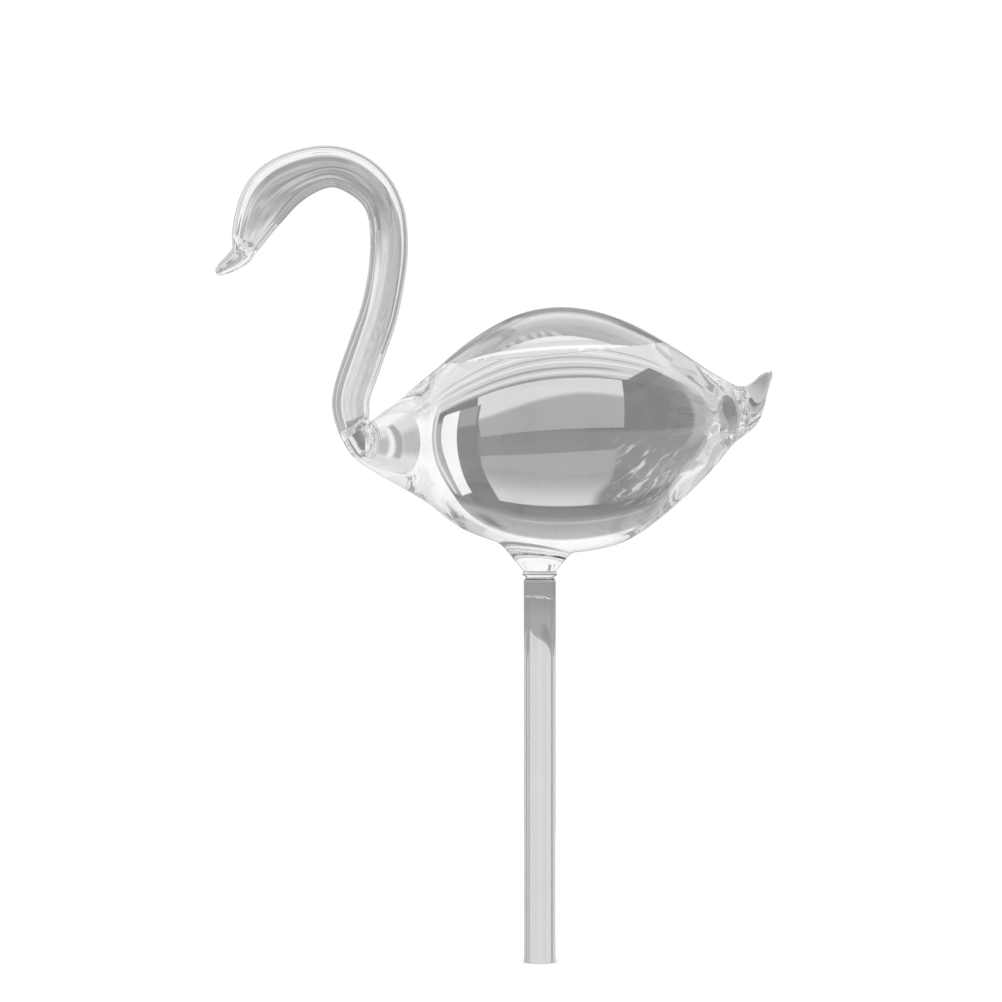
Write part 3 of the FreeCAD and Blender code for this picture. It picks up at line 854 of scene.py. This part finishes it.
tree.links.new(unit.outputs[0], sep.inputs[0])
dx, dy, dz = (Val(tree, sep.outputs[i]) for i in range(3))
az = (dx.op("ARCTAN2", dy) * (180 / math.pi)).op("WRAP", 45.0, -45.0)
el = dz.op("ARCSINE") * (180 / math.pi)


class Paint:
    """Tones laid one over another, as they should look in the picture."""

    def __init__(self, tone):
        self.tone = tone

    def over(self, tone, mask):
        self.tone = self.tone + (self.tone * -1.0 + tone) * mask


def ramp(x, lo, hi, a, b):
    return x.step(lo, hi) * (b - a) + a


# the wall behind: dark, with a window of two panes, a bright slit and white beyond
paint = Paint(ramp(el, 0.4, 1.6, 0.56, 0.61))
paint.over(0.64, az.op("MULTIPLY", -1).step(9, 12) * el.step(7, 12))
# above the window
paint.over(ramp(el, 22, 26, 0.57, 0.67), el.step(18.4, 18.9))
paint.over(ramp(el, 26, 37, 0.67, 0.73), el.step(26, 27))
paint.over(0.74, el.band(25.4, 26.4, 0.3) * az.band(-24, 12, 5))
paint.over(0.50, el.band(29, 36, 3) * az.band(18, 22, 2.5))
# the light ground below, and its streaks
low = el - (az * 0.1 - 9.6)
slant = el - (az * 0.80 - 2.2).op("MAXIMUM", -17.0)
clear = slant.op("MULTIPLY", -1).step(-0.2, 0.2).op("MAXIMUM", (az + 9.2).step(-0.2, 0.4))
paint.over(ramp(low, -12, -1, 0.90, 0.82), low.op("MULTIPLY", -1).step(-0.15, 0.15))
paint.over(0.66, low.band(-0.45, 0.15, 0.2) * az.band(-7, 24, 3))
paint.over(0.90, low.band(-1.6, -1.0, 0.3) * az.band(-14, 24, 5))
paint.over(0.67, low.band(-2.7, -2.2, 0.25) * az.band(-9, 20, 3))
paint.over(0.93, low.band(-4.4, -3.9, 0.3) * az.band(-20, 30, 5))
paint.over(0.72, low.band(-5.8, -5.3, 0.3) * az.band(-16, 26, 5))
paint.over(0.95, low.band(-7.4, -6.9, 0.3) * az.band(-26, 34, 5))
paint.over(0.74, low.band(-9.2, -8.6, 0.3) * az.band(-26, 34, 5))
paint.over(0.58, low.op("MULTIPLY", -1).step(-0.3, 0.1) * (clear * -1.0 + 1.0) * az.step(-34, -24))
# uneven light over the dark wall's foot
u, v = az * 0.17 + el * 0.10, az * -0.34 + el * 0.57
both = tree.nodes.new("ShaderNodeCombineXYZ")
tree.links.new(u.sock, both.inputs[0])
tree.links.new(v.sock, both.inputs[1])
cloud = tree.nodes.new("ShaderNodeTexNoise")
cloud.inputs["Scale"].default_value = 1.0
cloud.inputs["Detail"].default_value = 2.0
cloud.inputs["Distortion"].default_value = 0.8
tree.links.new(both.outputs[0], cloud.inputs["Vector"])
cloud = Val(tree, cloud.outputs["Fac"])
paint.over(0.84, cloud.step(0.53, 0.66) * (el - 12.0 - (az + 16.0) * -0.35).band(-6.5, 8.5, 2.5) * az.band(-30, -8, 2.5))
# lower pane, then the crossbar, then the upper pane
frame_l = az + 9.3 - (el + 9.0) * 0.09
frame_r = az * -1.0 + 13.6 - (el - 2.0).op("MINIMUM", 0.0) * 0.28
arch = el + 5.9 - az.step(-5, 18) * 4.3
inside = frame_l.step(-0.1, 0.15) * frame_r.step(-0.1, 0.15)
lower = inside * low.step(0.1, 0.35) * (el - az * 0.07 - 0.9).op("MULTIPLY", -1).step(-0.1, 0.1)
paint.over(ramp(arch, -1.0, 0.25, 0.86, 0.70), lower)
upper_l = frame_l.step(0.2, 1.2) * (ramp(el, 9, 16, 8.0, 5.0) + az).step(-1.0, 1.5)
upper = upper_l * frame_r.step(-0.1, 0.15) * (el - az * 0.07 - 5.2).step(-0.1, 0.1) * el.op("MULTIPLY", -1).step(-18.6, -18.3)
paint.over(ramp(el, 9, 17.5, 0.69, 0.84), upper)
# dark bar, bright slit and white wall, all leaning alike
lean = az + (el - 5.0) * 0.105
paint.over(0.575, lean.band(13.9, 18.5, 0.12) * el.band(-5.6, 19.5, 0.2))
paint.over(0.66, lean.band(14.3, 18.3, 0.3) * el.band(-5.6, -1.2, 0.2))
paint.over(0.97, lean.band(18.5, 22.9, 0.15) * (el + (az - 19.0) * -0.65).band(-8.6, 18.6, 0.2) * el.step(-5.8, -5.5))
paint.over(0.72, lean.band(23.0, 24.6, 0.4) * el.band(-4, 20, 1))
paint.over(0.88, lean.band(24.6, 26.2, 0.4) * el.band(-9, 20, 1))
paint.over(1.0, (lean - (el - 12.0).op("MAXIMUM", 0.0) * 0.1).step(26.0, 27.5) * low.step(-8, 0))
paint.over(0.70, az.op("MULTIPLY", -1).step(26, 28) * el.band(-13, 8, 2))
paint.over(0.95, az.op("MULTIPLY", -1).step(35, 40))
paint.over(1.0, el.step(37, 41))
# the other sides of the room are the same, but paler
aside = (dx.op("ARCTAN2", dy) * (180 / math.pi)).op("ABSOLUTE")
paint.over(1.0, aside.step(47, 62) * 0.6)


def shine(tree, tone, mesh, mat):
    """Light of those tones, with what the glass itself adds and takes allowed for."""
    light = tone.op("POWER", 2.25) * 1.19 - 0.13
    bg = tree.nodes.new("ShaderNodeEmission")
    tree.links.new(light.sock, bg.inputs["Color"])
    outn = tree.nodes.new("ShaderNodeOutputMaterial")
    tree.links.new(bg.outputs[0], outn.inputs["Surface"])
    mesh.materials.append(mat)


shine(tree, paint.tone, tent_mesh, mat)


def card(name, outline, picture, y, turns=()):
    """A soft card that only the glass sees, behind the object, and its twin in front; or its copies at quarter turns."""
    mat = bpy.data.materials.new(name)
    mat.use_nodes = True
    t = mat.node_tree
    t.nodes.clear()
    c = t.nodes.new("ShaderNodeTexCoord")
    sp = t.nodes.new("ShaderNodeSeparateXYZ")
    t.links.new(c.outputs["Object"], sp.inputs[0])
    x, z = Val(t, sp.outputs[0]) * 1000.0, Val(t, sp.outputs[2]) * 1000.0
    mesh = bpy.data.meshes.new(name)
    outline = np.array(outline, float)
    n = len(outline) // 2
    v = np.zeros((2 * n, 3))
    v[:, 0], v[:, 1], v[:, 2] = outline[:, 0], y, outline[:, 1]
    mesh.from_pydata((v * MM).tolist(), [], [(i, i + 1, n + i + 1, n + i) for i in range(n - 1)])
    shine(t, picture(x, z), mesh, mat)
    for k in turns or (0, 1):
        ob = bpy.data.objects.new("card_%s_%d" % (name, k), mesh)
        if turns:
            ob.rotation_euler = (0, 0, k * math.pi / 2)
        elif k:
            ob.scale = (1, -1, 1)
        scene.collection.objects.link(ob)
        ob.visible_camera = ob.visible_diffuse = ob.visible_shadow = False


def box_card(x0, x1, z0, z1):
    return [(x0, z0), (x1, z0), (x0, z1), (x1, z1)]


def neck_wall(x, z):
    stripes = (x * 2.6 + z * 0.3).op("SINE") * 0.03
    q = Paint(stripes + ramp(x, -58, -38, 0.87, 0.77))
    q.over(0.68, x.band(-98, -80, 1.5) * z.op("MULTIPLY", -1).step(-206, -196))
    q.over(0.74, x.band(-34, -22, 2) * z.band(120, 220, 4))
    # crown and head: tones along the bend
    h = z - 244.0 + (x + 64.0) * (x + 64.0) * 0.012
    top = z.step(209, 216)
    q.over((h * 1.3).op("SINE") * 0.02 + 0.74, top)
    q.over(0.80, h.band(-8.0, -4.5, 0.8) * top * x.band(-100, -70, 3))
    q.over(0.64, h.band(-17, -13.5, 0.8) * top * x.band(-80, -34, 6))
    q.over(0.80, h.band(-19.0, -17.3, 0.4) * top * x.band(-92, -60, 4))
    q.over(0.66, h.band(-24, -20, 0.8) * x.band(-76, -50, 4))
    q.over(0.67, h.band(-1.5, 1.8, 0.8) * top)
    q.over(0.82, h.band(2.6, 8, 0.8) * top)
    q.over(0.92, h.step(9, 12) * top)
    q.over(0.62, x.band(-70, -58, 3) * z.band(203, 220, 3))
    q.over(0.60, x.band(-36, -26, 2) * z.band(232, 240, 2))
    q.over(0.88, x.band(-101, -95, 1.5) * z.band(190, 226, 6))
    q.over(0.72, x.band(-132, -104, 2) * z.band(200, 236, 4))
    q.over(0.92, x.op("MULTIPLY", -1).step(130, 133))
    return q.tone


card("neck", box_card(-150, -26, 130, 285), neck_wall, 100)


def ribbon(q, near, far, side):
    r = neck.at(q)
    u = (r[:, 2:4] - r[:, 0:2]) / np.hypot(*(r[:, 2:4] - r[:, 0:2]).T)[:, None]
    at = r[:, 2:4] if side > 0 else r[:, 0:2]
    return np.concatenate([at + u * side * near, at + u * side * far])


q_all = np.linspace(0, neck.s[-1], 400)
rows = neck.at(q_all)
rise = q_all[np.argmax(rows[:, 3] > 171.0)]
root = q_all[np.argmax(rows[:, 3] > 158.5)]
crown = q_all[np.argmax(rows[:, 1] > 207.0)]
card("neck_back", ribbon(np.linspace(root, neck.s[-1], 60), 2.0, 6.2, 1), lambda x, z: x * 0.0 + 0.98, 15)
card("neck_rim", ribbon(np.linspace(rise, neck.s[-1], 60), 6.3, 16.0, 1), lambda x, z: x * 0.0 + 0.68, 15)
card("neck_rim_low", ribbon(np.linspace(root, rise, 12), 6.3, 10.0, 1), lambda x, z: x * 0.0 + 0.68, 15)
card("throat_light", ribbon(np.linspace(0.6, crown, 46), -0.4, 3.0, -1), lambda x, z: ramp(z, 196, 206.5, 0.95, 0.74), 15)
card("throat_dark", ribbon(np.linspace(0.6, crown, 46), 3.1, 24.0, -1), lambda x, z: x * 0.0 + 0.69, 15)
card("throat_crown", ribbon(np.linspace(neck.marks[13], neck.marks[22], 40), 0.6, 8.0, -1), lambda x, z: x * 0.0 + 0.66, 15)


def breast_wall(x, z):
    q = Paint(ramp(z, 139, 144, 0.97, 0.88))
    q.over(0.76, z.band(146.6, 150.2, 0.9) * x.step(-22.8, -21.4))
    q.over(0.80, z.band(158, 161.5, 0.8) * x.step(-16, -14.5))
    q.over(0.70, z.band(142.0, 152.0, 1.0) * x.band(-24.4, -22.3, 0.4))
    q.over(0.96, z.band(142.0, 153.0, 1.4) * x.band(-26.0, -25.0, 0.4))
    q.over(0.76, z.band(146.0, 152.0, 1.0) * x.op("MULTIPLY", -1).step(26.4, 26.9))
    return q.tone


card("breast", box_card(-36, -13, 128, 171), breast_wall, 45)
card("breast_left", box_card(-44, -36, 153, 171), lambda x, z: x * 0.0 + 0.80, 45)
card("pocket", box_card(-62, -36, 126, 151.5), lambda x, z: ramp(z, 138, 150, 0.56, 0.66), 45, (0,))
card("pocket_front", box_card(-62, -36, 126, 151.5), lambda x, z: ramp(z, 138, 150, 0.80, 0.84), -45, (0,))


def tail_wall(x, z):
    q = Paint(ramp(x, 57, 68, 0.80, 0.66))
    q.over(0.80, x.step(70, 74))
    q.over(0.88, z.step(165, 168))
    return q.tone


card("tail", box_card(56, 80, 136, 178), tail_wall, 12)


def lens(x, z):
    line = z - x * 0.064 - 176.7
    hump = z - 181.1 + (x - 8.0) * (x - 8.0) * 0.011
    ribs = ((x + z * 0.8) * 1.55 + (x * 0.5).op("SINE") * 1.1).op("SINE").step(-0.4, 0.5)
    q = Paint(ramp(line, 0.2, 3.6, 0.86, 0.94))
    q.over(0.82, line.band(1.5, 1.9, 0.25) * x.band(-2, 22, 3))
    q.over(ribs * 0.12 + 0.66, hump.step(-0.2, 0.25))
    q.over(1.0, line.band(-0.9, 0.35, 0.25))
    q.over(0.88, line.op("MULTIPLY", -1).step(0.9, 1.3))
    return q.tone


span_x = np.linspace(-26, 45, 120)
top = np.maximum(181.1 - 0.011 * (span_x - 8) ** 2 + np.clip(1.6 - np.abs(span_x + 2) / 8.0, 0, 1) * 2.6, 177.1 + 0.064 * span_x)
card("lens", [(x, 173.4) for x in span_x] + list(zip(span_x, top)), lens, 50)


def stem_wall(x, z):
    edge = z - 88.9 + x.op("MAXIMUM", -18.0).op("MINIMUM", 40.0) * 0.15
    q = Paint(x * 0.0 + 0.865)
    q.over(ramp(z, 94, 100, 0.71, 0.67), edge.step(-0.5, 0.5))
    q.over(0.645, edge.band(0.6, 5.0, 1.2) * x.step(-2, 8))
    q.over(0.65, x.band(-53, -24, 1.5).op("MAXIMUM", x.step(44, 46)))
    return q.tone


card("stem", box_card(-60, 60, -45, 111), stem_wall, 60, (0, 1, 2, 3))


def disc(name, radius, z, rings_n=24, m=96):
    net = Net()
    rr = np.linspace(0.02, 1, rings_n) * radius
    t = np.linspace(0, 2 * math.pi, m, endpoint=False)
    p = np.zeros((rings_n, m, 3))
    p[:, :, 0], p[:, :, 1] = rr[:, None] * np.cos(t), rr[:, None] * np.sin(t)
    p[:, :, 2] = z
    s = net.grid(p, 0)
    net.fan(loop_of(s, 0, m), [0, 0, z], 0, flip=True)
    mesh = bpy.data.meshes.new(name)
    mesh.from_pydata((np.concatenate(net.v) * MM).tolist(), [], net.f)
    ob = bpy.data.objects.new(name, mesh)
    scene.collection.objects.link(ob)
    return ob


floor = disc("floor", 420, -0.05)
mat = bpy.data.materials.new("pale_floor")
mat.use_nodes = True
t = mat.node_tree
b = t.nodes["Principled BSDF"]
c = t.nodes.new("ShaderNodeTexCoord")
n = t.nodes.new("ShaderNodeTexNoise")
n.inputs["Scale"].default_value = 9.0
n.inputs["Detail"].default_value = 4.0
t.links.new(c.outputs["Object"], n.inputs["Vector"])
for sock, lo, hi in (("Base Color", 0.885, 0.915), ("Roughness", 0.55, 0.65)):
    r = t.nodes.new("ShaderNodeMapRange")
    r.inputs["To Min"].default_value, r.inputs["To Max"].default_value = lo, hi
    t.links.new(n.outputs["Fac"], r.inputs["Value"])
    t.links.new(r.outputs["Result"], b.inputs[sock])
floor.data.materials.append(mat)
floor.visible_transmission = False
floor.visible_glossy = False

dome_mesh = bpy.data.meshes.new("backdrop")
bm = bmesh.new()
bmesh.ops.create_uvsphere(bm, u_segments=64, v_segments=32, radius=4.0)
bm.to_mesh(dome_mesh)
bm.free()
backdrop = bpy.data.objects.new("backdrop", dome_mesh)
scene.collection.objects.link(backdrop)
mat = bpy.data.materials.new("white_backdrop")
mat.use_nodes = True
mat.node_tree.nodes.clear()
em = mat.node_tree.nodes.new("ShaderNodeEmission")
em.inputs["Strength"].default_value = 1.02
mo = mat.node_tree.nodes.new("ShaderNodeOutputMaterial")
mat.node_tree.links.new(em.outputs[0], mo.inputs["Surface"])
dome_mesh.materials.append(mat)
for flag in ("visible_diffuse", "visible_glossy", "visible_transmission", "visible_volume_scatter", "visible_shadow"):
    setattr(backdrop, flag, False)

lamp = bpy.data.lights.new("overhead", "AREA")
lamp.shape, lamp.size = "DISK", 0.9
lamp.energy = 14
lo = bpy.data.objects.new("overhead", lamp)
lo.location = (0, 0, 1.1)
scene.collection.objects.link(lo)
lo.visible_transmission = False
lo.visible_glossy = False
lo.visible_camera = False

# ---------------------------------------------------------------- camera
cam = bpy.data.cameras.new("camera")
cam.lens, cam.sensor_width = 135, 36
cam.clip_start = 0.01
cob = bpy.data.objects.new("camera", cam)
cob.location = (-0.01095, -1.0604, 0.12995)
cob.rotation_euler = (math.pi / 2, 0, 0)
scene.collection.objects.link(cob)
scene.camera = cob
